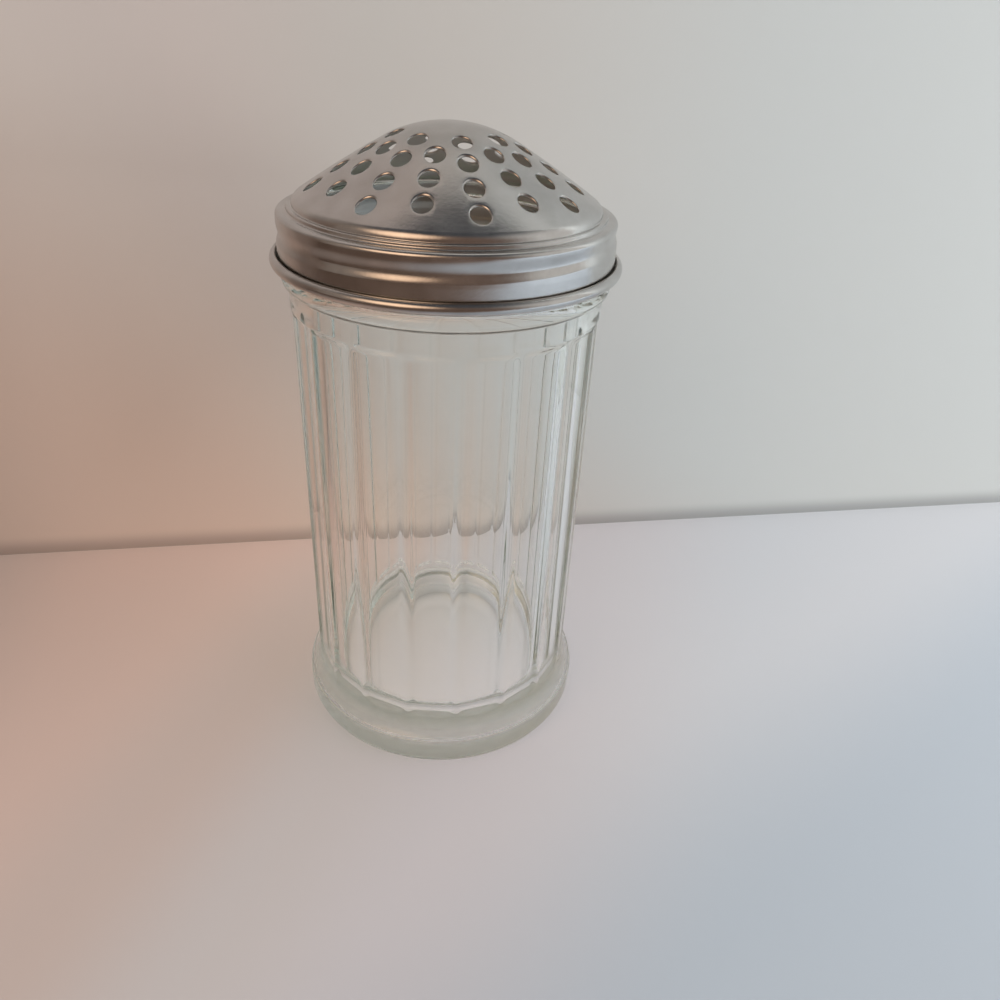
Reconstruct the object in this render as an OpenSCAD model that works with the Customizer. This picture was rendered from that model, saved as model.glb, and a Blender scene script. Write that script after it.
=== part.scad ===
// Cheese shaker: a panelled glass jar closed by a domed, perforated screw lid.
// Millimetres, +Z up. The origin is the middle of the foot, on the table.

/* [Glass jar] */
// Diameter of the panelled wall, over its ribs
wall_d = 70.6; // [60:0.2:84]
// Thickness of the wall at the ribs
wall_t = 4.3; // [3:0.1:6]
// Thickness of glass from the table up to the inside floor
floor_t = 9.6; // [7:0.1:14]
// Radius between the inside wall and the inside floor
floor_round = 7; // [3:0.5:12]
// Diameter of the shallow hollow under the foot
hollow_d = 54; // [40:1:58]
// Depth of the shallow hollow under the foot
hollow_h = 2; // [1:0.1:4]

/* [Foot] */
// How far the foot stands out past the ribs
foot_flare = 2.8; // [1.5:0.1:6]
// Radius of the heel, where the foot meets the table
heel_round = 4; // [2:0.1:5]
// Height of the straight side of the foot
foot_face_h = 3.5; // [1:0.1:8]
// Radius of the foot's upper edge
foot_round = 2; // [1:0.1:3]
// Height of the hollow curve from the foot's upper edge to the wall
foot_cove_h = 7.1; // [5:0.1:12]

/* [Panels] */
// Number of panels round the wall
panel_count = 18; // [12:1:24]
// Height of the panels
panel_h = 97; // [60:0.5:130]
// Plain wall left above and below the panels
panel_margin = 0.5; // [0.3:0.1:3]
// Share of each panel's pitch that is recessed, the rest being rib
panel_share = 0.86; // [0.6:0.01:0.9]
// How far a flat panel lies below the edges of its ribs
panel_recess = 0.35; // [0.15:0.05:0.6]
// Direction of one rib, turned from the front
rib_turn = 6; // [0:0.5:20]

/* [Neck] */
// How far the neck band stands out past the ribs
band_proud = 0.4; // [0.3:0.1:1.5]
// Height of the slope from the ribs out to the neck band
band_slope_h = 1.2; // [0.6:0.1:2]
// Height of the straight neck band
band_h = 4.8; // [2:0.1:10]
// How far the bead under the lid stands out past the neck band
bead_proud = 1.4; // [0.8:0.1:1.8]
// Radius of the bead under the lid
bead_round = 1.9; // [1.6:0.1:2.2]
// Step in from the neck band to the neck
neck_step = 0.35; // [0.1:0.05:0.5]
// Height of the neck, from the band to the rim
neck_h = 15.3; // [14:0.1:22]
// Radius of the rim's edges
rim_round = 0.5; // [0.3:0.05:0.6]

/* [Lid sheet and skirt] */
// Thickness of the lid's sheet metal
sheet_t = 0.45; // [0.3:0.05:0.6]
// Gap between the neck and the rolled thread of the skirt
thread_gap = 1.05; // [0.6:0.05:1.6]
// Depth of the rolled thread
thread_depth = 0.6; // [0.4:0.05:0.8]
// Radius of the rolled thread's groove
thread_round = 1.5; // [1.2:0.05:1.8]
// Height of the rolled thread below the rim
thread_drop = 3.65; // [3.3:0.05:5]
// Depth of the line rolled under the shoulder
line_depth = 0.25; // [0.15:0.05:0.35]
// Radius of the line rolled under the shoulder
line_round = 0.45; // [0.4:0.05:0.6]
// Height of the rolled line below the rim
line_drop = 0.95; // [0.9:0.05:1.2]
// Height of the skirt below the rim
skirt_h = 10.6; // [9:0.1:12]
// Radius of the curled hem
hem_round = 1.3; // [1.1:0.05:1.6]
// How far the curled hem reaches in past the skirt
hem_in = 0.35; // [0.2:0.05:0.5]
// Slit between the end of the curl and the skirt
hem_slit = 0.3; // [0.2:0.05:0.4]

/* [Lid shoulder and dome] */
// Radius of the shoulder's outer edge
shoulder_round = 0.9; // [0.7:0.05:1.1]
// Width of the shoulder's underside that lies over the rim
seat_w = 0.9; // [0.75:0.05:1.4]
// Height of the step above the shoulder
step_h = 1; // [0.7:0.05:1.6]
// Width of the step, in to the foot of the dome
step_w = 1.15; // [0.8:0.05:1.6]
// Radius of the step's edge
step_round = 0.35; // [0.25:0.05:0.45]
// Height of the straight foot of the dome above the step
dome_foot_h = 0.4; // [0.2:0.05:0.8]
// Radius from the foot of the dome over to its slope
dome_foot_round = 1.5; // [1.2:0.05:2]
// Rise of the dome from the step to its tip
dome_rise = 16.8; // [13:0.2:22]
// Radius of the rounded tip of the dome
tip_round = 30.4; // [20:0.2:34]

/* [Perforations] */
// Diameter of a hole, punched straight down
hole_d = 4.1; // [2:0.1:5]
// Number of spokes of holes, long and short by turns
spoke_count = 16; // [8:2:16]
// Number of holes in a long spoke, with one fewer in a short spoke
spoke_holes = 4; // [2:1:4]
// Distance from the axis to the innermost hole
first_hole_r = 11.7; // [8:0.1:14]
// Distance from the outermost hole out to the foot of the dome
last_hole_margin = 4.8; // [4.2:0.1:10]
// How far a short spoke's holes sit out from a long spoke's, as a share of their pitch
stagger_share = 0.67; // [0.4:0.01:0.75]
// Direction of one long spoke, turned from the front
spoke_turn = 12; // [0:0.5:45]

/* [Hidden] */
$fn = 96;

// Extra length of a cutting shape past the face that it cuts
overrun = 1;
// Turn from the X axis to the front, which looks along -Y
front = -90;

// Jar radii
wall_r = wall_d / 2;
inside_r = wall_r - wall_t;
foot_r = wall_r + foot_flare;
band_r = wall_r + band_proud;
neck_r = band_r - neck_step;

// Jar heights
foot_edge_z = heel_round + foot_face_h;
wall_z = foot_edge_z + foot_cove_h;
panel_z = wall_z + panel_margin;
wall_top_z = panel_z + panel_h + panel_margin;
band_z = wall_top_z + band_slope_h;
neck_z = band_z + band_h;
rim_z = neck_z + neck_h;

// Foot curve: a hollow arc that runs into the wall and meets the rounded edge without a corner
cove_x = foot_round - foot_flare;
cove_r = (cove_x ^ 2 + foot_cove_h ^ 2 - foot_round ^ 2) / (2 * foot_flare);
edge_centre = [foot_r - foot_round, foot_edge_z];
cove_centre = [wall_r + cove_r, wall_z];
cove_way = (cove_centre - edge_centre) / norm(cove_centre - edge_centre);
cove_meet = edge_centre + foot_round * cove_way;

// Panels: half their width, and how far their flats lie from the axis
panel_half_turn = panel_share * 180 / panel_count;
panel_half_w = wall_r * sin(panel_half_turn);
panel_x = wall_r * cos(panel_half_turn) - panel_recess;

// Bead: a round ring that meets the top of the neck band in a crease
bead_x = band_r + bead_proud - bead_round;
bead_centre = [bead_x, neck_z + sqrt(bead_round ^ 2 - (band_r - bead_x) ^ 2)];

// Radius of the sphere that hollows the underside
hollow_r = ((hollow_d / 2) ^ 2 + hollow_h ^ 2) / (2 * hollow_h);

// Lid radii and heights, built up from the neck and the rim that it fits
skirt_in_r = neck_r + thread_gap + thread_depth;
skirt_r = skirt_in_r + sheet_t;
shoulder_z = rim_z + sheet_t;
step_z = shoulder_z + step_h;
step_r = neck_r - seat_w + sheet_t;
dome_r = step_r - step_w;
hem_centre = [skirt_in_r - hem_in + hem_round, rim_z - skirt_h + hem_round];
thread_centre = [skirt_r - thread_depth + thread_round, rim_z - thread_drop];
line_centre = [skirt_r - line_depth + line_round, rim_z - line_drop];

// Slope of the dome: the line that just touches both the rounded tip and the rounded foot
foot_centre = [dome_r - dome_foot_round, step_z + dome_foot_h];
tip_centre = [0, step_z + dome_rise - tip_round];
tip_way = foot_centre - tip_centre;
dome_slope = asin((tip_round - dome_foot_round) / norm(tip_way)) - atan(tip_way.y / tip_way.x);
slope_way = [sin(dome_slope), cos(dome_slope)];

// Rows of holes
hole_pitch = (dome_r - last_hole_margin - first_hole_r) / (spoke_holes - 1);

// Half outline of the foot, up to the wall
module foot_outline() {
    square([foot_r - heel_round, foot_edge_z]);
    translate([0, heel_round]) square([foot_r, foot_face_h]);
    translate([foot_r - heel_round, heel_round]) circle(r = heel_round);
    translate(edge_centre) circle(r = foot_round);
    difference() {
        translate([0, foot_edge_z]) square([cove_meet.x, foot_cove_h]);
        translate(cove_centre) circle(r = cove_r);
    }
}

// Half outline of the neck band, the bead, the neck and the rounded rim
module neck_outline() {
    polygon([
        [0, wall_top_z],
        [wall_r, wall_top_z],
        [band_r, band_z],
        [band_r, neck_z],
        [0, neck_z]
    ]);
    translate([0, neck_z]) square([neck_r, neck_h - rim_round]);
    translate([0, neck_z]) square([neck_r - rim_round, neck_h]);
    translate([neck_r - rim_round, rim_z - rim_round]) circle(r = rim_round);
    translate(bead_centre) circle(r = bead_round);
}

// Half outline of the space inside the jar, with its mouth rounded out to the rim
module inside_outline() {
    translate([0, floor_t + floor_round]) square([inside_r, rim_z - floor_t]);
    translate([0, floor_t]) square([inside_r - floor_round, rim_z - floor_t]);
    translate([inside_r - floor_round, floor_t + floor_round]) circle(r = floor_round);
    difference() {
        translate([0, rim_z - rim_round]) square([inside_r + rim_round, rim_round + overrun]);
        translate([inside_r + rim_round, rim_z - rim_round]) circle(r = rim_round);
    }
}

// The flat panels, as the blocks that are cut out of the wall
module panel_cuts() {
    for (i = [0 : panel_count - 1])
        rotate(front + rib_turn + (i + 1 / 2) * 360 / panel_count)
            translate([panel_x, -panel_half_w, panel_z])
                cube([wall_r - panel_x + overrun, 2 * panel_half_w, panel_h]);
}

module glass_jar() {
    color([0.82, 0.88, 0.86, 0.45])
        difference() {
            rotate_extrude() {
                foot_outline();
                translate([0, wall_z]) square([wall_r, wall_top_z - wall_z]);
                neck_outline();
            }
            rotate_extrude() inside_outline();
            translate([0, 0, hollow_h - hollow_r]) sphere(r = hollow_r);
            panel_cuts();
        }
}

// Half outline of the dome filled solid, moved in by the thickness t
module dome_outline(t) {
    touch = tip_centre + (tip_round - t) * slope_way;
    foot_touch = foot_centre + (dome_foot_round - t) * slope_way;
    polygon([[0, foot_centre.y], foot_centre, foot_touch, touch, [0, touch.y]]);
    translate(foot_centre) circle(r = dome_foot_round - t);
    intersection() {
        translate(tip_centre) circle(r = tip_round - t);
        translate([0, touch.y]) square([tip_round, tip_round]);
    }
}

// Half outline of a plain round block up to the height z, with its upper edge rounded
module block_outline(r, z, edge, low) {
    translate([0, low]) square([r - edge, z - low]);
    translate([0, low]) square([r, z - edge - low]);
    translate([r - edge, z - edge]) circle(r = edge);
}

// Half outline of the lid filled solid, without its hem
module lid_outside() {
    low = hem_centre.y;
    dome_outline(0);
    translate([0, low]) square([dome_r, foot_centre.y - low]);
    block_outline(step_r, step_z, step_round, low);
    difference() {
        block_outline(skirt_r, shoulder_z, shoulder_round, low);
        translate(thread_centre) circle(r = thread_round);
        translate(line_centre) circle(r = line_round);
    }
}

// Half outline of the space inside the lid, open at the bottom
module lid_inside() {
    low = hem_centre.y - hem_round - overrun;
    dome_outline(sheet_t);
    translate([0, low]) square([dome_r - sheet_t, foot_centre.y - low]);
    translate([0, low]) square([step_r - sheet_t, step_z - sheet_t - low]);
    difference() {
        block_outline(skirt_in_r, rim_z, shoulder_round - sheet_t, low);
        translate(thread_centre) circle(r = thread_round + sheet_t);
        translate(line_centre) circle(r = line_round + sheet_t);
    }
}

// Section of the hem, a curl of sheet whose end stops just short of the skirt
module hem_outline() {
    difference() {
        translate(hem_centre) circle(r = hem_round);
        translate(hem_centre) circle(r = hem_round - sheet_t);
        translate([skirt_r, hem_centre.y]) square([hem_slit, hem_round + overrun]);
    }
}

// One hole, straight down through the dome at a distance r from the axis
module hole(r) {
    translate([r, 0, step_z])
        cylinder(d = hole_d, h = dome_rise + overrun);
}

// All the holes, on long and short spokes by turns
module perforations() {
    for (i = [0 : spoke_count - 1])
        rotate(front + spoke_turn + i * 360 / spoke_count)
            for (j = [0 : spoke_holes - 1 - i % 2])
                hole(first_hole_r + (j + (i % 2) * stagger_share) * hole_pitch);
}

module perforated_lid() {
    color([0.66, 0.65, 0.63])
        difference() {
            rotate_extrude() {
                difference() {
                    lid_outside();
                    lid_inside();
                    translate(hem_centre) circle(r = hem_round - sheet_t);
                }
                hem_outline();
            }
            perforations();
        }
}

glass_jar();
perforated_lid();
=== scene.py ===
"""Looks of the cheese shaker: a pressed glass jar and a perforated, domed sheet-steel screw lid.

Shapes are worked out in millimetres in the part's own frame, +Z up, and written to Blender in metres.
"""

import math

import bmesh
import bpy
import numpy as np
from mathutils import Matrix, Vector
from mathutils.geometry import delaunay_2d_cdt


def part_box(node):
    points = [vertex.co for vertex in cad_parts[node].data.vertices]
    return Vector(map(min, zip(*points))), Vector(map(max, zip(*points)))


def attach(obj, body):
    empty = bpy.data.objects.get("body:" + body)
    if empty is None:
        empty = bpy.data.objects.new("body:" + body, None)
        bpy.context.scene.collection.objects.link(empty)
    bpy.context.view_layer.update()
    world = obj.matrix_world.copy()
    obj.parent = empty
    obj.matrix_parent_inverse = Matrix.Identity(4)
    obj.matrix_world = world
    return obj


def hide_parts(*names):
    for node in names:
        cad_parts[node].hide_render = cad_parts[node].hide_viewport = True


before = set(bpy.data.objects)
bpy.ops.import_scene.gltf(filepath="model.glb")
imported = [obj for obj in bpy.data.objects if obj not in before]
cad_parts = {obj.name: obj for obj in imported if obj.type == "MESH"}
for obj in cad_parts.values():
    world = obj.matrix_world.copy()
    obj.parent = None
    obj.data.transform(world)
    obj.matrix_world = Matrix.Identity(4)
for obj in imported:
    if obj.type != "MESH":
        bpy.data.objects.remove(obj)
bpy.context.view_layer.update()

MM = 0.001
TURN = 2 * math.pi
FRONT = -math.pi / 2
JAR_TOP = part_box("glass_jar")[1] / MM
LID_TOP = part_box("perforated_lid")[1] / MM

# Glass jar sizes
RIM_Z = JAR_TOP.z
FOOT_R = JAR_TOP.x
FOOT_FLARE = 2.8
WALL_R = FOOT_R - FOOT_FLARE
WALL_T = 4.3
INSIDE_R = WALL_R - WALL_T
FLOOR_Z = 9.6
FLOOR_ROUND = 10.0
HOLLOW_R = 27.0
HOLLOW_H = 2.0
HEEL_ROUND = 4.0
FOOT_EDGE_Z = 7.5
FOOT_ROUND = 2.0
WALL_Z = 14.6
PANEL_TOP_Z = 111.9
BAND_PROUD = 0.4
BAND_R = WALL_R + BAND_PROUD
BAND_Z = 114.2
NECK_Z = 118.6
NECK_IN = 0.35
NECK_R = BAND_R - NECK_IN
BEAD_PROUD = 1.4
BEAD_ROUND = 1.9
RIM_ROUND = 0.5

# Panels
PANEL_COUNT = 18
PANEL_SHARE = 0.86
PANEL_RECESS = 0.33
PANEL_EDGE_IN = 1.3
PANEL_EDGE_OUT = 0.85
PANEL_END = 2.5
RIB_TURN = math.radians(6)
PANEL_PITCH = TURN / PANEL_COUNT
PANEL_HALF = PANEL_SHARE * PANEL_PITCH / 2
EDGE_START = PANEL_HALF - PANEL_EDGE_IN / WALL_R
EDGE_END = PANEL_HALF + PANEL_EDGE_OUT / WALL_R

# Fineness of the jar's mesh: points across half a panel, then rows and arc steps from the foot to the floor
FLAT_POINTS = 6
EDGE_POINTS = 10
RIB_POINTS = 3
HOLLOW_ROWS = 10
HEEL_STEPS = 14
FOOT_STEPS = 8
COVE_STEPS = 12
PANEL_END_ROWS = 14
PANEL_ROWS = 30
PANEL_TOP_ROWS = 18
BEAD_STEPS = 24
NECK_STEP = 0.18
NECK_FINE = NECK_STEP / 3
NECK_SOFT = 0.08
RIM_STEPS = 6
INSIDE_ROWS = 30
FLOOR_ROUND_STEPS = 14
FLOOR_ROWS = 10

# Right-hand threads, which rise to the right: the moulded one of the neck and the rolled one of the skirt
THREAD_PITCH = 4.23
RUN_OUT = math.radians(45)
GLASS_THREAD_DROP = 6.0
GLASS_THREAD_Z = RIM_Z - GLASS_THREAD_DROP
GLASS_THREAD_H = 0.9
GLASS_THREAD_HALF_W = (1.25, 1.25)
GLASS_THREAD_ENDS = (math.radians(-160), math.radians(215))
ROLLED_THREAD_DROP = 3.4
ROLLED_THREAD_Z = RIM_Z - ROLLED_THREAD_DROP
ROLLED_THREAD_DEPTH = 0.42
ROLLED_THREAD_HALF_W = (1.9, 2.6)
ROLLED_THREAD_ENDS = (math.radians(-215), math.radians(160))

# Lid sizes
SHEET_T = 0.45
SKIRT_GAP = 2.1
SKIRT_R = NECK_R + SKIRT_GAP
SKIRT_TAPER = 0.2
PLAIN_SKIRT_DROP = 5.9
PLAIN_SKIRT_Z = RIM_Z - PLAIN_SKIRT_DROP
SHOULDER_Z = RIM_Z + SHEET_T
SHOULDER_ROUND = 0.9
SHOULDER_FALL = 0.15
STEP_H = 1.0
STEP_Z = SHOULDER_Z + STEP_H
STEP_IN = 0.45
STEP_R = NECK_R - STEP_IN
STEP_ROUND = 0.25
STEP_FILLET = 0.35
STEP_W = 1.15
DOME_R = STEP_R - STEP_W
DOME_FOOT_ROUND = 2.2
DOME_FOOT = (DOME_R - DOME_FOOT_ROUND, STEP_Z)
TIP_ROUND = 30.4
FLANK_ROUND = 300.0
TIP_CENTRE_Z = LID_TOP.z - TIP_ROUND
HEM_ROUND = 1.3
HEM_R = LID_TOP.x - HEM_ROUND
HEM_DROP = 10.95
HEM_Z = RIM_Z - HEM_DROP + HEM_ROUND
HEM_SLIT = 0.2

# Where the rolled thread fades out: above the hem's middle, and below the shoulder
HEM_FADE_START = 1.2
HEM_FADE_END = 2.2
SHOULDER_FADE = 0.4

# Perforations
HOLE_R = 2.05
HOLE_SIDES = 32
SPOKE_COUNT = 16
SPOKE_TURN = math.radians(12)
SPOKE_HOLES = 4
FIRST_HOLE_R = 11.7
LAST_HOLE_IN = 4.8
LAST_HOLE_R = DOME_R - LAST_HOLE_IN
STAGGER_SHARE = 0.67
RIM_OUTSIDE = 0.34
RIM_INSIDE = 0.1

# Wall of a hole, from its rounded rim to the inside: how far outside the hole's radius, and how deep
HOLE_WALL = [(RIM_OUTSIDE, 0.0), (0.22, 0.015), (0.1, 0.07), (0.0, 0.2)]
HOLE_WALL += [(0.0, SHEET_T - 0.06), (RIM_INSIDE, SHEET_T)]

# Fineness of the lid's mesh: steps of its outline, then points that fill the dome between the holes
LID_COLUMNS = 288
LID_STEP = 0.1
LID_FINE = LID_STEP / 4
LID_INSIDE_STEP = 0.25
CORNER_SOFT = 0.13
DOME_FOOT_STEPS = 16
STEP_STEPS = 8
SHOULDER_STEPS = 12
CURL_STEPS = 60
DOME_JOIN_R = 31.6
FILL_START = 1.0
FILL_STEP = 0.9
FILL_SPACING = 0.95
FILL_LEAST = 6
FILL_EDGE_CLEAR = 0.4
FILL_HOLE_CLEAR = 0.35
CUT_REACH = 1e-7
WELD_REACH = 0.004

# Glass: tone of its thickness, faint ripples, light wear, a frosted underside and a slightly matt floor
GLASS_TONE = (0.995, 1.0, 0.995, 1)
GLASS_IOR = 1.5
ABSORB_TONE = (0.60, 0.76, 0.65, 1)
ABSORB_DENSITY = 10.5
RIPPLE_SCALE = 40
RIPPLE_DETAIL = 2
RIPPLE_STRENGTH = 0.015
RIPPLE_LIFT = 0.001
WEAR_FROM = (0.55, 0.75)
WEAR_ROUGHNESS = 0.03
UNDER_Z = (2.2, 3.6)
UNDER_ROUGHNESS = 0.3
SOFT_Z = (15.0, 22.0)
SOFT_REACH = 0.3
SOFT_R = INSIDE_R + SOFT_REACH
SOFT_ROUGHNESS = 0.1

# Steel: cloudy tone and gloss, fine grain, and the dull inside of the lid, with its darker tone painted
# shade
STEEL_TONES = [(0.3, (0.45, 0.435, 0.42)), (0.7, (0.62, 0.61, 0.595))]
STEEL_ROUGHNESS = (0.13, 0.29)
CLOUD_SCALE = 90
CLOUD_DETAIL = 5
CLOUD_ROUGHNESS = 0.6
GRAIN_SCALE = 1500
GRAIN_DETAIL = 3
GRAIN_STRENGTH = 0.05
GRAIN_LIFT = 0.0002
LID_HEART_Z = 130.0
INSIDE_PAINTED_SHADE = (0.46, 0.44, 0.41)
INSIDE_ROUGHNESS = 0.45

# Camera, fitted to the photograph
CAMERA_PLACE = (0.0, -189.71, 175.31)
CAMERA_PAN = math.radians(4.477)
CAMERA_TILT = math.radians(31.31)
CAMERA_ROLL = math.radians(-3.21)
SENSOR_MM = 36.0
FOCAL_SHARE = 0.8319
CLIP_START = 10.0

# Stage: a floor and a wall behind, each with tones along one direction and tints along others, all of them
# painted light and shade
STAGE_HALF = 1500.0
STAGE_ROUGHNESS = 0.7
STAGE_SPECULAR = 0.1
FLOOR_DROP = -0.15
WALL_Y = 74.2
WALL_TURN = 6.8
WALL_H = 525.0
TONE_REACH = 130.0
FLOOR_WAY = (1.0, -0.4, 0.0)
# Painted light on the floor: warm to the left, where it lies in shade, and cooler to the right, where the
# light falls
FLOOR_PAINTED_LIGHT = [(0.14, (0.588, 0.447, 0.393)), (0.3, (0.515, 0.425, 0.387)), (0.446, (0.504, 0.466, 0.457))]
FLOOR_PAINTED_LIGHT += [(0.588, (0.506, 0.478, 0.49)), (0.885, (0.476, 0.492, 0.521))]
# Painted shade on the floor: cool shade to the front right, and darker far to the left
FLOOR_PAINTED_SHADE = [((0.7, -1.0, 0.0), 60.0, 135.0, (0.80, 0.86, 0.905))]
FLOOR_PAINTED_SHADE += [((-1.0, 0.0, 0.0), 110.0, 190.0, (0.70, 0.80, 0.84))]
WALL_WAY = (1.0, 0.0, 0.0)
# Painted light on the wall: warm to the left, cool to the right
WALL_PAINTED_LIGHT = [(0.2, (0.505, 0.457, 0.433)), (0.44, (0.47, 0.455, 0.434)), (0.92, (0.44, 0.46, 0.457))]
# Painted light and shade on the wall: warm shade low on the left, light at the left middle, shade far to the
# left, light high up, and a painted contact shadow along its foot
WALL_PAINTED_LIGHT_AND_SHADE = [((-0.6, 0.0, -1.0), -95.0, 35.0, (1.0, 0.86, 0.79))]
WALL_PAINTED_LIGHT_AND_SHADE += [((-1.0, 0.0, -0.6), -20.0, 40.0, (1.08, 1.08, 1.06))]
WALL_PAINTED_LIGHT_AND_SHADE += [((-1.0, 0.0, 0.0), 110.0, 230.0, (0.55, 0.56, 0.57))]
WALL_PAINTED_LIGHT_AND_SHADE += [((0.0, 0.0, 1.0), 270.0, 400.0, (1.22, 1.2, 1.18))]
WALL_PAINTED_LIGHT_AND_SHADE += [((0.0, 0.0, -1.0), -7.5, -0.3, (0.62, 0.62, 0.63))]

# Floor that the metal mirrors far to the front left, darkened as painted shade, and the paler floor under
# the jar, a painted pool of the light that the glass gathers
FAR_WAY = (-0.6, -0.8, 0.0)
FAR_START = 120.0
FAR_END = 320.0
FAR_PAINTED_SHADE = (0.18, 0.125, 0.10)
PAINTED_CAUSTIC_START = 29.0
PAINTED_CAUSTIC_END = 37.0
PAINTED_CAUSTIC_TINT = (1.52, 1.44, 1.46)

# Lamp
KEY_PLACE = (850, -300, 480)
KEY_TARGET = (0, 0, 80)
KEY_SIZE = 1000
KEY_POWER = 18.7
KEY_TONE = (0.94, 0.98, 1.0)

# Room that the metal mirrors: tones by height, then to the right, the left and the front, and a warm glow
ROOM_TONES = [(0.0, (0.34, 0.27, 0.23)), (0.4, (0.27, 0.24, 0.22)), (0.8, (0.085, 0.089, 0.098))]
ROOM_SIDES = [((1.0, 0.0, 0.0), 0.3, 0.9, (0.75, 0.73, 0.70))]
ROOM_SIDES += [((-1.0, 0.0, 0.0), 0.4, 0.9, (0.28, 0.225, 0.19))]
ROOM_SIDES += [((0.0, -1.0, 0.0), 0.35, 0.85, (0.17, 0.115, 0.09))]
ROOM_SIDES += [((-0.487, -0.646, 0.588), 0.87, 1.0, (2.1, 1.43, 0.97))]

# Bounces of light
ALL_BOUNCES = 32
GLOSSY_BOUNCES = 16
TRANSMISSION_BOUNCES = 24
CLEAR_BOUNCES = 32


# Small helpers

def smooth(low, high, x):
    """0 below low, 1 above high, and an even S-curve between."""
    t = np.clip((x - low) / (high - low), 0, 1)
    return t * t * (3 - 2 * t)


def bump(x, half_width):
    """A rounded bump of height 1 at x = 0 that fades to nothing at half_width."""
    t = np.clip(np.abs(x) / half_width, 0, 1)
    return 0.5 + 0.5 * np.cos(math.pi * t)


def arc(centre, radius, start, end, steps):
    """Points on an arc, from one angle in degrees to another."""
    angles = np.radians(np.linspace(start, end, steps + 1))
    return [(centre[0] + radius * math.cos(a), centre[1] + radius * math.sin(a)) for a in angles]


def resample(points, step):
    """The same line with points an even step apart."""
    line = np.array(points, float)
    along = np.concatenate([[0], np.cumsum(np.hypot(*np.diff(line, axis=0).T))])
    count = max(2, int(round(along[-1] / step)) + 1)
    at = np.linspace(0, along[-1], count)
    return np.stack([np.interp(at, along, line[:, k]) for k in (0, 1)], 1)


def soften(line, step, radius):
    """Rounds the corners of an evenly stepped line by about radius, with its ends kept."""
    reach = int(math.ceil(3 * radius / step))
    weight = np.exp(-0.5 * (np.arange(-reach, reach + 1) * step / radius) ** 2)
    weight = weight / weight.sum()
    head = 2 * line[0] - line[reach:0:-1]
    tail = 2 * line[-1] - line[-2:-reach - 2:-1]
    padded = np.concatenate([head, line, tail])
    return np.stack([np.convolve(padded[:, k], weight, "valid") for k in (0, 1)], 1)


def ring(r, z, angles):
    """A row of points round the axis; r and z are numbers or one value per angle."""
    ones = np.ones_like(angles)
    return np.stack([r * np.cos(angles), r * np.sin(angles), z * ones], 1)


def helical(angles, z, at_front, half_widths, ends):
    """A rounded right-hand helical ridge of height 1, over all of its turns that pass an angle.

    Its half widths are given below and above its crest.
    """
    start, end = ends
    below, above = half_widths
    turned = np.mod(angles - FRONT + math.pi, TURN) - math.pi
    total = np.zeros_like(angles)
    for extra in (-TURN, 0, TURN):
        at = turned + extra
        fade = smooth(start, start + RUN_OUT, at) * (1 - smooth(end - RUN_OUT, end, at))
        offset = z - at_front - THREAD_PITCH * at / TURN
        total = total + fade * bump(offset, np.where(offset > 0, above, below))
    return np.minimum(total, 1)


def new_object(name, points, faces, smooth_shading=True):
    """A mesh object from points in millimetres."""
    mesh = bpy.data.meshes.new(name)
    mesh.from_pydata((np.asarray(points) * MM).tolist(), [], faces)
    mesh.validate()
    if smooth_shading:
        mesh.shade_smooth()
    else:
        mesh.shade_flat()
    piece = bpy.data.objects.new(name, mesh)
    bpy.context.scene.collection.objects.link(piece)
    return piece


def skin_rows(rows, first=0):
    """Faces between rows of points that go round the axis. A row of one point closes an end."""
    faces = []
    start = first
    for low, high in zip(rows[:-1], rows[1:]):
        n_low = len(low)
        n_high = len(high)
        top = start + n_low
        count = max(n_low, n_high)
        for i in range(count):
            j = (i + 1) % count
            if n_low == 1:
                faces.append((start, top + j, top + i))
            elif n_high == 1:
                faces.append((start + i, start + j, top))
            else:
                faces.append((start + i, start + j, top + j, top + i))
        start = top
    return faces


def weld(piece, distance):
    """Joins points that lie in the same place and turns all faces outward."""
    work = bmesh.new()
    work.from_mesh(piece.data)
    bmesh.ops.remove_doubles(work, verts=work.verts, dist=distance * MM)
    bmesh.ops.recalc_face_normals(work, faces=work.faces)
    open_edges = sum(1 for e in work.edges if len(e.link_faces) != 2)
    print(piece.name, "points", len(work.verts), "faces", len(work.faces), "open edges", open_edges)
    work.to_mesh(piece.data)
    work.free()


# Glass jar

def jar_angles():
    """Angles of the glass surface's columns, close together at the edges of the panels."""
    flat = np.linspace(0, EDGE_START, FLAT_POINTS)
    edge = np.linspace(EDGE_START, EDGE_END, EDGE_POINTS)[1:]
    rib = np.linspace(EDGE_END, PANEL_PITCH / 2, RIB_POINTS)[1:]
    half = np.concatenate([flat, edge, rib])
    whole = np.concatenate([-half[:0:-1], half[:-1]]) + PANEL_PITCH / 2
    return np.concatenate([FRONT + RIB_TURN + i * PANEL_PITCH + whole for i in range(PANEL_COUNT)])


def panel_depth(angles):
    """How deep the flat, recessed panels lie below the ribs, with softened edges."""
    offset = np.mod(angles - FRONT - RIB_TURN, PANEL_PITCH) - PANEL_PITCH / 2
    flat_x = WALL_R * math.cos(PANEL_HALF) - PANEL_RECESS
    share = 1 - smooth(EDGE_START, EDGE_END, np.abs(offset))
    return share * (WALL_R - flat_x / np.cos(offset))


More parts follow.
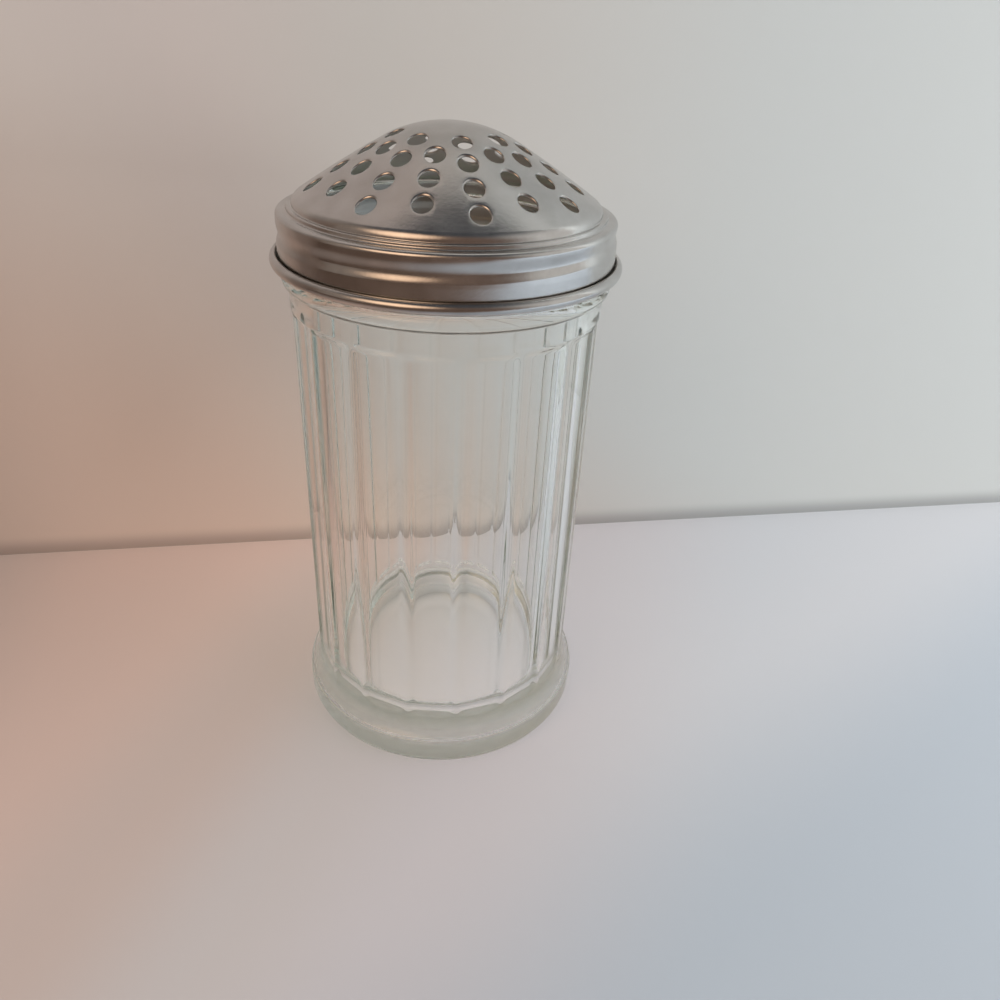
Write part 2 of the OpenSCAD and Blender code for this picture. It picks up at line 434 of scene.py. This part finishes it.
def foot_line():
    """Outline of the foot from the bottom of the heel to the wall."""
    cove_x = FOOT_ROUND - FOOT_FLARE
    cove_h = WALL_Z - FOOT_EDGE_Z
    cove_r = (cove_x ** 2 + cove_h ** 2 - FOOT_ROUND ** 2) / (2 * FOOT_FLARE)
    edge = (FOOT_R - FOOT_ROUND, FOOT_EDGE_Z)
    cove = (WALL_R + cove_r, WALL_Z)
    lean = math.degrees(math.atan2(cove[1] - edge[1], cove[0] - edge[0]))
    line = arc((FOOT_R - HEEL_ROUND, HEEL_ROUND), HEEL_ROUND, -90, 0, HEEL_STEPS)
    line += arc(edge, FOOT_ROUND, 0, lean, FOOT_STEPS)
    line += arc(cove, cove_r, 180 + lean, 180, COVE_STEPS)
    return line


def neck_line():
    """Outline of the neck from the band, over the bead, to the rim."""
    bead_x = BAND_R + BEAD_PROUD - BEAD_ROUND
    low = math.degrees(math.acos((BAND_R - bead_x) / BEAD_ROUND))
    high = math.degrees(math.acos((NECK_R - bead_x) / BEAD_ROUND))
    bead_z = NECK_Z + BEAD_ROUND * math.sin(math.radians(low))
    line = [(BAND_R, BAND_Z)]
    line += arc((bead_x, bead_z), BEAD_ROUND, -low, high, BEAD_STEPS)
    line += [(NECK_R, RIM_Z - RIM_ROUND)]
    line = soften(resample(line, NECK_FINE), NECK_FINE, NECK_SOFT)
    return resample(line, NECK_STEP)


def inside_line():
    """Outline of the rim and the inside, from the outside of the rim to the edge of the flat floor."""
    line = arc((NECK_R - RIM_ROUND, RIM_Z - RIM_ROUND), RIM_ROUND, 0, 90, RIM_STEPS)[1:]
    line += arc((INSIDE_R + RIM_ROUND, RIM_Z - RIM_ROUND), RIM_ROUND, 90, 180, RIM_STEPS)
    for z in np.linspace(RIM_Z - RIM_ROUND, FLOOR_Z + FLOOR_ROUND, INSIDE_ROWS)[1:-1]:
        line.append((INSIDE_R, z))
    corner = (INSIDE_R - FLOOR_ROUND, FLOOR_Z + FLOOR_ROUND)
    return line + arc(corner, FLOOR_ROUND, 0, -90, FLOOR_ROUND_STEPS)


def jar_rows(angles):
    """Rows of points of the whole glass surface, from under the foot, over the rim, to the inside floor."""
    sphere_r = (HOLLOW_R ** 2 + HOLLOW_H ** 2) / (2 * HOLLOW_H)
    rows = [np.array([[0, 0, HOLLOW_H]])]
    for r in np.linspace(0, HOLLOW_R, HOLLOW_ROWS)[1:]:
        rows.append(ring(r, math.sqrt(sphere_r ** 2 - r ** 2) - sphere_r + HOLLOW_H, angles))
    rows.append(ring(HOLLOW_R + 0.5 * (FOOT_R - HEEL_ROUND - HOLLOW_R), 0, angles))
    for r, z in foot_line()[:-1]:
        rows.append(ring(r, z, angles))
    depth = panel_depth(angles)
    low_end = np.linspace(WALL_Z, WALL_Z + PANEL_END, PANEL_END_ROWS)
    middle = np.linspace(low_end[-1], PANEL_TOP_Z, PANEL_ROWS)[1:-1]
    high_end = np.linspace(PANEL_TOP_Z, BAND_Z, PANEL_TOP_ROWS)[:-1]
    for z in np.concatenate([low_end, middle, high_end]):
        share = smooth(WALL_Z, WALL_Z + PANEL_END, z)
        top = smooth(PANEL_TOP_Z, BAND_Z, z)
        rows.append(ring((WALL_R - depth * share) * (1 - top) + BAND_R * top, z, angles))
    for r, z in neck_line():
        thread = helical(angles, z, GLASS_THREAD_Z, GLASS_THREAD_HALF_W, GLASS_THREAD_ENDS)
        rows.append(ring(r + GLASS_THREAD_H * thread, z, angles))
    for r, z in inside_line():
        rows.append(ring(r, z, angles))
    for r in np.linspace(INSIDE_R - FLOOR_ROUND, 0, FLOOR_ROWS)[1:-1]:
        rows.append(ring(r, FLOOR_Z, angles))
    rows.append(np.array([[0, 0, FLOOR_Z]]))
    return rows


def make_jar():
    """The glass jar as one closed surface."""
    rows = jar_rows(jar_angles())
    return new_object("moulded_glass_jar", np.concatenate(rows), skin_rows(rows))


# Lid

def flank_centre():
    """Centre of the dome's slightly bowed flank, which touches its rounded tip and its rounded foot."""
    tip = np.array([0.0, TIP_CENTRE_Z])
    way = np.array(DOME_FOOT) - tip
    apart = np.hypot(*way)
    to_tip = FLANK_ROUND - TIP_ROUND
    to_foot = FLANK_ROUND - DOME_FOOT_ROUND
    along = (to_tip ** 2 - to_foot ** 2 + apart ** 2) / (2 * apart)
    aside = math.sqrt(to_tip ** 2 - along ** 2)
    return tip + along * way / apart + aside * np.array([way[1], -way[0]]) / apart


FLANK_X, FLANK_Z = flank_centre()
TIP_SLOPE = math.atan2(-FLANK_X, TIP_CENTRE_Z - FLANK_Z)
FOOT_SLOPE = math.atan2(DOME_FOOT[0] - FLANK_X, DOME_FOOT[1] - FLANK_Z)


def dome_z(r, inset):
    """Height of the dome's surface, moved in by inset, at a distance r from the axis."""
    tip = TIP_ROUND - inset
    touch_r = tip * math.sin(TIP_SLOPE)
    cap = TIP_CENTRE_Z + np.sqrt(np.maximum(tip ** 2 - np.minimum(r, touch_r) ** 2, 0))
    flank = FLANK_Z + np.sqrt((FLANK_ROUND - inset) ** 2 - (r - FLANK_X) ** 2)
    return np.where(r < touch_r, cap, flank)


def lid_line(inset):
    """Line of the lid's sheet from the dome's flank, down the steps and the skirt, to the end of the hem.

    An inset of nothing gives the outside of the sheet, and an inset of its thickness gives the inside.
    """
    curl = HEM_ROUND - SHEET_T + inset
    entry = math.degrees(math.acos((SKIRT_R - inset - HEM_R) / curl))
    end = math.degrees(math.acos((SKIRT_R + HEM_SLIT + SHEET_T / 2 - HEM_R) / (HEM_ROUND - SHEET_T / 2)))
    shoulder_r = SKIRT_R - SKIRT_TAPER - SHOULDER_ROUND
    line = [(DOME_JOIN_R, float(dome_z(DOME_JOIN_R, inset)))]
    line += arc(DOME_FOOT, DOME_FOOT_ROUND - inset, 90 - math.degrees(FOOT_SLOPE), 0, DOME_FOOT_STEPS)
    line += [(DOME_R - inset, STEP_Z - inset)]
    edge = max(STEP_ROUND, inset)
    line += arc((STEP_R - edge, STEP_Z - edge), edge - inset, 90, 0, STEP_STEPS)
    fillet = (STEP_R + STEP_FILLET, SHOULDER_Z + SHOULDER_FALL + STEP_FILLET)
    line += arc(fillet, STEP_FILLET + inset, 180, 270, STEP_STEPS)
    shoulder = (shoulder_r, SHOULDER_Z - SHOULDER_ROUND)
    line += arc(shoulder, SHOULDER_ROUND - inset, 90, 0, SHOULDER_STEPS)
    line += [(SKIRT_R - inset, PLAIN_SKIRT_Z)]
    line += arc((HEM_R, HEM_Z), curl, entry, 360 + end, CURL_STEPS)
    line = soften(resample(line, LID_FINE), LID_FINE, CORNER_SOFT)
    return resample(line, LID_INSIDE_STEP if inset else LID_STEP)


def skirt_share(line):
    """How much of the rolled thread each point of a line from the dome to the hem takes."""
    z = line[:, 1]
    low = smooth(HEM_Z + HEM_FADE_START, HEM_Z + HEM_FADE_END, z)
    high = 1 - smooth(SHOULDER_Z - SHOULDER_ROUND, SHOULDER_Z - SHOULDER_FADE, z)
    before_curl = np.arange(len(z)) < np.argmax(z < HEM_Z + HEM_FADE_START)
    return low * high * before_curl


def skirt_push(angles, z):
    """How far the rolled thread moves the skirt in."""
    groove = helical(angles, z, ROLLED_THREAD_Z, ROLLED_THREAD_HALF_W, ROLLED_THREAD_ENDS)
    return -ROLLED_THREAD_DEPTH * groove


def lid_rim_rows(angles):
    """Rows of the lid outside the dome: out over the shoulder, round the hem, and back inside."""
    rows = []
    for inset in (0, SHEET_T):
        line = lid_line(inset)
        share = skirt_share(line)
        side = [ring(r + s * skirt_push(angles, z), z, angles) for (r, z), s in zip(line, share)]
        rows += side if inset == 0 else side[::-1]
    return rows


def hole_places():
    """Distance from the axis and angle of every hole, on long and short spokes by turns."""
    pitch = (LAST_HOLE_R - FIRST_HOLE_R) / (SPOKE_HOLES - 1)
    places = []
    for i in range(SPOKE_COUNT):
        short = i % 2
        angle = FRONT + SPOKE_TURN + i * TURN / SPOKE_COUNT
        for j in range(SPOKE_HOLES - short):
            places.append((FIRST_HOLE_R + (j + short * STAGGER_SHARE) * pitch, angle))
    return places


def hole_ring(r, angle, radius, depth):
    """Points round a hole that is punched straight down, at a depth below the dome's outer surface."""
    out = np.array([math.cos(angle), math.sin(angle)])
    side = np.array([-math.sin(angle), math.cos(angle)])
    turns = np.linspace(0, TURN, HOLE_SIDES, endpoint=False)[:, None]
    flat = r * out + radius * (np.cos(turns) * out + np.sin(turns) * side)
    return np.column_stack([flat, dome_z(np.hypot(*flat.T), depth)])


def in_hole(point, outlines, centres, radius):
    """True where a point of the plan lies inside a hole's outline."""
    near = np.hypot(*(centres - point).T)
    for k in np.nonzero(near < radius)[0]:
        a = outlines[k] - point
        b = np.roll(a, -1, 0)
        if (a[:, 0] * b[:, 1] - a[:, 1] * b[:, 0] > 0).all():
            return True
    return False


def fill_points(centres, rim_radius):
    """Points of the dome's plan that fill it evenly, clear of the holes."""
    fill = [(0.0, 0.0)]
    for r in np.arange(FILL_START, DOME_JOIN_R - FILL_EDGE_CLEAR, FILL_STEP):
        count = max(FILL_LEAST, int(TURN * r / FILL_SPACING))
        for a in np.arange(count) * TURN / count + r:
            point = np.array([r * math.cos(a), r * math.sin(a)])
            if np.hypot(*(centres - point).T).min() > rim_radius + FILL_HOLE_CLEAR:
                fill.append(tuple(point))
    return fill


def dome_sheet(inset, rim_radius, angles):
    """One side of the dome with round gaps for the holes, cut into triangles: its points and faces."""
    edge = ring(DOME_JOIN_R, 0, angles)[:, :2]
    outlines = [hole_ring(r, a, rim_radius, inset)[:, :2] for r, a in hole_places()]
    centres = np.array([outline.mean(0) for outline in outlines])
    points = [tuple(p) for p in edge]
    loops = [list(range(len(points)))]
    for outline in outlines:
        loops.append(list(range(len(points), len(points) + HOLE_SIDES)))
        points += [tuple(p) for p in outline]
    points += fill_points(centres, rim_radius)
    edges = [(loop[i], loop[(i + 1) % len(loop)]) for loop in loops for i in range(len(loop))]
    made, _, faces, _, _, _ = delaunay_2d_cdt([Vector(p) for p in points], edges, [], 0, CUT_REACH)
    flat = np.array([tuple(p) for p in made])
    keep = []
    for face in faces:
        middle = flat[list(face)].mean(0)
        if not in_hole(middle, outlines, centres, rim_radius):
            keep.append(tuple(face))
    spots = np.column_stack([flat, dome_z(np.hypot(*flat.T), inset)])
    return spots, keep


def make_lid():
    """The stamped lid as one closed sheet with rounded, punched holes."""
    angles = np.linspace(0, TURN, LID_COLUMNS, endpoint=False)
    rows = lid_rim_rows(angles)
    points = [np.concatenate(rows)]
    faces = [tuple(reversed(f)) for f in skin_rows(rows)]
    count = len(points[0])
    for inset, rim, flip in ((0.0, RIM_OUTSIDE, False), (SHEET_T, RIM_INSIDE, True)):
        spots, triangles = dome_sheet(inset, HOLE_R + rim, angles)
        for t in triangles:
            face = tuple(count + k for k in t)
            faces.append(tuple(reversed(face)) if flip else face)
        points.append(spots)
        count += len(spots)
    for r, a in hole_places():
        loops = [hole_ring(r, a, HOLE_R + out, depth) for out, depth in HOLE_WALL]
        faces += skin_rows(loops, count)
        points += loops
        count += len(loops) * HOLE_SIDES
    piece = new_object("stamped_lid", np.concatenate(points), faces)
    weld(piece, WELD_REACH)
    return piece


# Shader nodes

def new_material(name):
    """A node material, with its nodes, its links and its shader."""
    material = bpy.data.materials.new(name)
    material.use_nodes = True
    nodes = material.node_tree.nodes
    return material, nodes, material.node_tree.links, nodes["Principled BSDF"]


def add_node(nodes, kind, **values):
    """A shader node with its sockets set by name; an underscore in a name stands for a space."""
    node = nodes.new(kind)
    for name, value in values.items():
        node.inputs[name.replace("_", " ")].default_value = value
    return node


def add_math(nodes, links, operation, *values):
    """The result of a sum on linked values and plain numbers."""
    node = nodes.new("ShaderNodeMath")
    node.operation = operation
    for socket, value in zip(node.inputs, values):
        if isinstance(value, (int, float)):
            socket.default_value = value
        else:
            links.new(value, socket)
    return node.outputs["Value"]


def add_vector_math(nodes, links, operation, first, second=None):
    """The node of a sum on a linked vector and, where there is one, a plain or linked second vector."""
    node = nodes.new("ShaderNodeVectorMath")
    node.operation = operation
    links.new(first, node.inputs[0])
    if isinstance(second, tuple):
        node.inputs[1].default_value = second
    elif second is not None:
        links.new(second, node.inputs[1])
    return node


def add_measure(nodes, links, place, way):
    """How far along a direction a place lies."""
    return add_vector_math(nodes, links, "DOT_PRODUCT", place, way).outputs["Value"]


def add_length(nodes, links, place):
    """How far from the origin a place lies."""
    return add_vector_math(nodes, links, "LENGTH", place).outputs["Value"]


def add_range(nodes, links, value, span, low=0.0, high=1.0, eased=False):
    """A linked value that goes from low to high over a span, evenly or on an S-curve."""
    start, end = span
    node = add_node(nodes, "ShaderNodeMapRange", From_Min=start, From_Max=end, To_Min=low, To_Max=high)
    if eased:
        node.interpolation_type = "SMOOTHSTEP"
    links.new(value, node.inputs["Value"])
    return node.outputs["Result"]


def add_ramp(nodes, links, value, stops, interpolation="LINEAR"):
    """A colour that a linked value picks from a list of positions and colours."""
    node = nodes.new("ShaderNodeValToRGB")
    points = node.color_ramp.elements
    while len(points) < len(stops):
        points.new(0.5)
    for point, (position, colour) in zip(points, stops):
        point.position = position
        point.color = (*colour, 1)
    node.color_ramp.interpolation = interpolation
    links.new(value, node.inputs["Fac"])
    return node.outputs["Color"]


def add_blend(nodes, links, share, tone, colour, kind="MIX"):
    """A linked tone that a plain colour replaces, or multiplies, by a linked share."""
    node = nodes.new("ShaderNodeMix")
    node.data_type = "RGBA"
    node.blend_type = kind
    node.inputs["B"].default_value = (*colour, 1)
    links.new(share, node.inputs["Factor"])
    links.new(tone, node.inputs["A"])
    return node.outputs["Result"]


def add_noise(nodes, links, place, **values):
    """The value of a noise texture."""
    node = add_node(nodes, "ShaderNodeTexNoise", **values)
    links.new(place, node.inputs["Vector"])
    return node.outputs["Fac"]


def lift_surface(nodes, links, shader, height, strength, distance):
    """Gives a shader's surface a slight relief from a linked height."""
    node = add_node(nodes, "ShaderNodeBump", Strength=strength, Distance=distance)
    links.new(height, node.inputs["Height"])
    links.new(node.outputs["Normal"], shader.inputs["Normal"])


def clear_surface(nodes, links, shader, share):
    """Makes a shader's surface clear by a linked share."""
    clear = nodes.new("ShaderNodeBsdfTransparent")
    mix = nodes.new("ShaderNodeMixShader")
    links.new(share, mix.inputs["Fac"])
    links.new(shader.outputs["BSDF"], mix.inputs[1])
    links.new(clear.outputs["BSDF"], mix.inputs[2])
    links.new(mix.outputs["Shader"], nodes["Material Output"].inputs["Surface"])


def in_metres(span):
    """A span in millimetres as Blender's metres."""
    start, end = span
    return start * MM, end * MM


# Materials

def glass_material():
    """Clear pressed glass: slightly green in its thickness, with faint ripples and a frosted underside.

    It throws no dark shadow, and its inside floor is slightly matt.
    """
    material, nodes, links, shader = new_material("clear_pressed_glass")
    shader.inputs["Base Color"].default_value = GLASS_TONE
    shader.inputs["Transmission Weight"].default_value = 1
    shader.inputs["IOR"].default_value = GLASS_IOR
    place = nodes.new("ShaderNodeTexCoord").outputs["Object"]
    ripple = add_noise(nodes, links, place, Scale=RIPPLE_SCALE, Detail=RIPPLE_DETAIL)
    lift_surface(nodes, links, shader, ripple, RIPPLE_STRENGTH, RIPPLE_LIFT)
    wear = add_range(nodes, links, ripple, WEAR_FROM, 0, WEAR_ROUGHNESS)
    split = nodes.new("ShaderNodeSeparateXYZ")
    links.new(place, split.inputs["Vector"])
    under = add_range(nodes, links, split.outputs["Z"], in_metres(UNDER_Z), UNDER_ROUGHNESS, 0)
    worn = add_math(nodes, links, "ADD", wear, under)
    flat = add_vector_math(nodes, links, "MULTIPLY", place, (1, 1, 0)).outputs["Vector"]
    within = add_math(nodes, links, "LESS_THAN", add_length(nodes, links, flat), SOFT_R * MM)
    soft = add_range(nodes, links, split.outputs["Z"], in_metres(SOFT_Z), SOFT_ROUGHNESS, 0)
    roughness = add_math(nodes, links, "MULTIPLY_ADD", within, soft, worn)
    links.new(roughness, shader.inputs["Roughness"])
    absorb = add_node(nodes, "ShaderNodeVolumeAbsorption", Color=ABSORB_TONE, Density=ABSORB_DENSITY)
    links.new(absorb.outputs["Volume"], nodes["Material Output"].inputs["Volume"])
    in_shadow = nodes.new("ShaderNodeLightPath").outputs["Is Shadow Ray"]
    clear_surface(nodes, links, shader, in_shadow)
    return material


def steel_material():
    """Satin stamped steel: a cloudy tone and fine grain, duller on the side that faces the lid's heart, and
    darker there with painted shade.
    """
    material, nodes, links, shader = new_material("satin_stamped_steel")
    shader.inputs["Metallic"].default_value = 1
    coordinates = nodes.new("ShaderNodeTexCoord")
    place = coordinates.outputs["Object"]
    cloud = add_noise(nodes, links, place, Scale=CLOUD_SCALE, Detail=CLOUD_DETAIL, Roughness=CLOUD_ROUGHNESS)
    tone = add_ramp(nodes, links, cloud, STEEL_TONES)
    gloss = add_range(nodes, links, cloud, (0, 1), *STEEL_ROUGHNESS)
    heart = (0, 0, LID_HEART_Z * MM)
    from_heart = add_vector_math(nodes, links, "SUBTRACT", place, heart).outputs["Vector"]
    outward = add_measure(nodes, links, from_heart, coordinates.outputs["Normal"])
    inside = add_math(nodes, links, "LESS_THAN", outward, 0)
    # Painted shade: a darker tone on the side that faces the lid's heart
    links.new(add_blend(nodes, links, inside, tone, INSIDE_PAINTED_SHADE), shader.inputs["Base Color"])
    pick = nodes.new("ShaderNodeMix")
    pick.inputs["B"].default_value = INSIDE_ROUGHNESS
    links.new(inside, pick.inputs["Factor"])
    links.new(gloss, pick.inputs["A"])
    links.new(pick.outputs["Result"], shader.inputs["Roughness"])
    grain = add_noise(nodes, links, place, Scale=GRAIN_SCALE, Detail=GRAIN_DETAIL)
    lift_surface(nodes, links, shader, grain, GRAIN_STRENGTH, GRAIN_LIFT)
    return material


def floor_tone(nodes, links, place, tone):
    """The floor's tone, with a painted pool of light under the jar, where the glass gathers light.

    The metal mirrors a darker floor far to the front left, as in a dim room: painted shade that only
    mirrored rays see.
    """
    # Painted pool of light under the jar, in place of the light that the glass gathers
    from_axis = add_length(nodes, links, place)
    under = add_range(nodes, links, from_axis, in_metres((PAINTED_CAUSTIC_END, PAINTED_CAUSTIC_START)), eased=True)
    tone = add_blend(nodes, links, under, tone, PAINTED_CAUSTIC_TINT, "MULTIPLY")
    # Painted shade: the far floor darkens for mirrored rays only
    far = add_measure(nodes, links, place, FAR_WAY)
    away = add_range(nodes, links, far, in_metres((FAR_START, FAR_END)))
    mirrored = nodes.new("ShaderNodeLightPath").outputs["Is Glossy Ray"]
    share = add_math(nodes, links, "MULTIPLY", away, mirrored)
    return add_blend(nodes, links, share, tone, FAR_PAINTED_SHADE)


def stage_material(name, way, stops, painted_tints, is_floor):
    """A matt stage surface whose tone, painted light, drifts along a direction, and which is clear from
    behind.

    Each tint, painted light or shade, colours the tone more and more from its start to its end along its own
    direction.
    """
    material, nodes, links, shader = new_material(name)
    shader.inputs["Roughness"].default_value = STAGE_ROUGHNESS
    shader.inputs["Specular IOR Level"].default_value = STAGE_SPECULAR
    place = nodes.new("ShaderNodeTexCoord").outputs["Object"]
    along = add_measure(nodes, links, place, way)
    across = add_range(nodes, links, along, in_metres((-TONE_REACH, TONE_REACH)))
    tone = add_ramp(nodes, links, across, stops, "EASE")
    # Painted light and shade, tint by tint
    for tint_way, start, end, colour in painted_tints:
        along = add_measure(nodes, links, place, tint_way)
        share = add_range(nodes, links, along, in_metres((start, end)), eased=True)
        tone = add_blend(nodes, links, share, tone, colour, "MULTIPLY")
    if is_floor:
        tone = floor_tone(nodes, links, place, tone)
    links.new(tone, shader.inputs["Base Color"])
    behind = nodes.new("ShaderNodeNewGeometry").outputs["Backfacing"]
    clear_surface(nodes, links, shader, behind)
    return material


# Stage, light and camera

def make_stage():
    """A pale floor and a wall close behind, both with painted light and shade."""
    turn = math.radians(WALL_TURN)
    base = np.array([0.0, WALL_Y, FLOOR_DROP])
    way = np.array([math.cos(turn), math.sin(turn), 0])
    up = np.array([0, 0, WALL_H])
    half = STAGE_HALF
    corners = [(-half, -half), (half, -half), (half, half), (-half, half)]
    floor = new_object("floor", [(x, y, FLOOR_DROP) for x, y in corners], [(0, 1, 2, 3)], False)
    upright = [base - half * way, base + half * way, base + half * way + up, base - half * way + up]
    wall = new_object("backdrop", upright, [(0, 1, 2, 3)], False)
    floor.data.materials.append(stage_material("pale_floor_painted_light", FLOOR_WAY, FLOOR_PAINTED_LIGHT, FLOOR_PAINTED_SHADE, True))
    wall.data.materials.append(stage_material("pale_wall_painted_light", WALL_WAY, WALL_PAINTED_LIGHT, WALL_PAINTED_LIGHT_AND_SHADE, False))


def make_lamp():
    """A broad, cool, soft lamp from the right, which the metal and the glass don't mirror."""
    lamp = bpy.data.lights.new("key", "AREA")
    lamp.size = KEY_SIZE * MM
    lamp.energy = KEY_POWER
    lamp.color = KEY_TONE
    holder = bpy.data.objects.new("key", lamp)
    holder.location = Vector(KEY_PLACE) * MM
    facing = (Vector(KEY_TARGET) - Vector(KEY_PLACE)).to_track_quat("-Z", "Y")
    holder.rotation_euler = facing.to_euler()
    holder.visible_glossy = False
    holder.visible_transmission = False
    bpy.context.scene.collection.objects.link(holder)


def make_room():
    """A dim room all round, with a warm glow at the front left."""
    world = bpy.data.worlds.new("studio")
    world.use_nodes = True
    nodes = world.node_tree.nodes
    links = world.node_tree.links
    way = nodes.new("ShaderNodeTexCoord").outputs["Generated"]
    tone = add_ramp(nodes, links, add_measure(nodes, links, way, (0, 0, 1)), ROOM_TONES)
    for side, start, end, side_tone in ROOM_SIDES:
        towards = add_measure(nodes, links, way, side)
        share = add_range(nodes, links, towards, (start, end), eased=True)
        tone = add_blend(nodes, links, share, tone, side_tone)
    links.new(tone, nodes["Background"].inputs["Color"])
    bpy.context.scene.world = world


def set_bounces():
    """Enough bounces for light to pass through the thick glass."""
    cycles = bpy.context.scene.cycles
    cycles.max_bounces = ALL_BOUNCES
    cycles.glossy_bounces = GLOSSY_BOUNCES
    cycles.transmission_bounces = TRANSMISSION_BOUNCES
    cycles.transparent_max_bounces = CLEAR_BOUNCES


def make_camera():
    """The photograph's viewpoint."""
    pan, tilt, roll = CAMERA_PAN, CAMERA_TILT, CAMERA_ROLL
    ahead = Vector((math.sin(pan) * math.cos(tilt), math.cos(pan) * math.cos(tilt), -math.sin(tilt)))
    right = Vector((math.cos(pan), -math.sin(pan), 0))
    down = ahead.cross(right)
    image_x = math.cos(roll) * right + math.sin(roll) * down
    image_down = -math.sin(roll) * right + math.cos(roll) * down
    view = Matrix((image_x, -image_down, -ahead)).transposed().to_4x4()
    view.translation = Vector(CAMERA_PLACE) * MM
    lens = bpy.data.cameras.new("camera")
    lens.sensor_fit = "HORIZONTAL"
    lens.sensor_width = SENSOR_MM
    lens.lens = SENSOR_MM * FOCAL_SHARE
    lens.clip_start = CLIP_START * MM
    camera = bpy.data.objects.new("camera", lens)
    camera.matrix_world = view
    bpy.context.scene.collection.objects.link(camera)
    bpy.context.scene.camera = camera


make_camera()
make_stage()
make_lamp()
make_room()
set_bounces()

jar = make_jar()
jar.data.materials.append(glass_material())
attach(jar, "jar")
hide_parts("glass_jar")

lid = make_lid()
lid.data.materials.append(steel_material())
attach(lid, "lid")
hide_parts("perforated_lid")

bpy.context.scene.view_settings.view_transform = "Standard"
